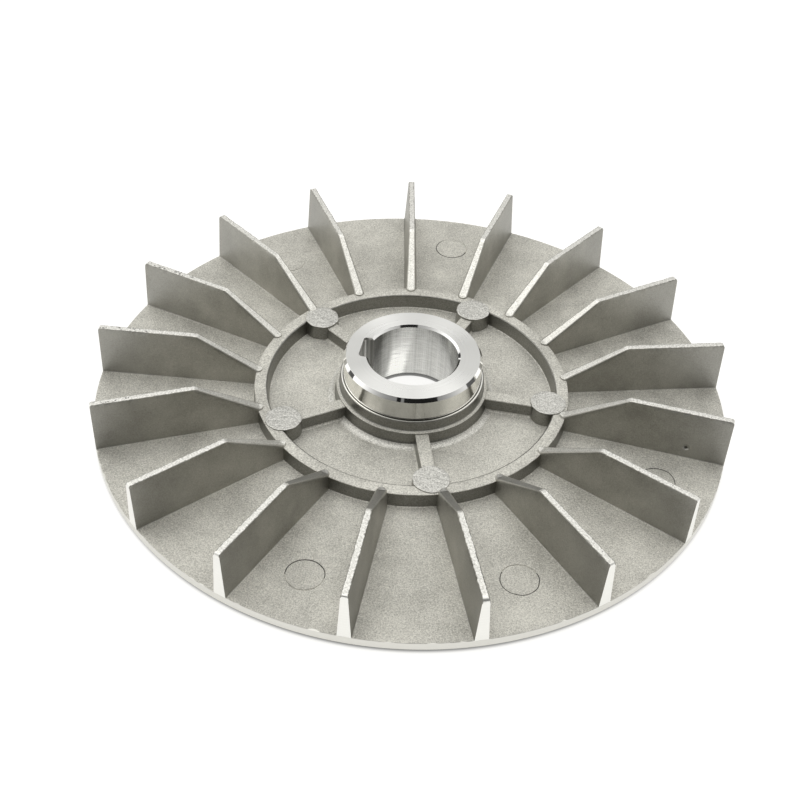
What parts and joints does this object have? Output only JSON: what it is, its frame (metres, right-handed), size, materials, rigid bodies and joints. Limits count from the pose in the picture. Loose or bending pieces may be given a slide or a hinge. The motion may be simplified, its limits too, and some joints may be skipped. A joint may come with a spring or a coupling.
{
  "type": "fan flywheel",
  "caption": "Die-cast fan flywheel: a thin disc with straight radial cooling vanes, a stiffening ring with short spokes and a turned hub with a keyed bore.",
  "frame": {"origin": "on the bore axis, in the plane of the hub's underside", "axes": "+Z along the bore axis towards the vanes' side; +X along spoke 1; the keyway opens towards -X"},
  "size_m": [0.176, 0.176, 0.0179],
  "materials": {
    "cast_aluminium": "as-cast, fine bright grain, satin",
    "turned_aluminium": "turned, bright, with fine tool marks"
  },
  "bodies": {
    "root": {"web_disc": "cast_aluminium", "stiffening_ring": "cast_aluminium", "hub_boss": "cast_aluminium", "hub_sleeve": "turned_aluminium", "ejector_pad_1": "cast_aluminium", "ejector_pad_2": "cast_aluminium", "ejector_pad_3": "cast_aluminium", "ejector_pad_4": "cast_aluminium", "ejector_pad_5": "cast_aluminium", "spoke_1": "cast_aluminium", "spoke_2": "cast_aluminium", "spoke_3": "cast_aluminium", "spoke_4": "cast_aluminium", "spoke_5": "cast_aluminium", "vane_01": "cast_aluminium", "vane_02": "cast_aluminium", "vane_03": "cast_aluminium", "vane_04": "cast_aluminium", "vane_05": "cast_aluminium", "vane_06": "cast_aluminium", "vane_07": "cast_aluminium", "vane_08": "cast_aluminium", "vane_09": "cast_aluminium", "vane_10": "cast_aluminium", "vane_11": "cast_aluminium", "vane_12": "cast_aluminium", "vane_13": "cast_aluminium", "vane_14": "cast_aluminium", "vane_15": "cast_aluminium", "vane_16": "cast_aluminium", "vane_17": "cast_aluminium"}
  },
  "joints": []
}
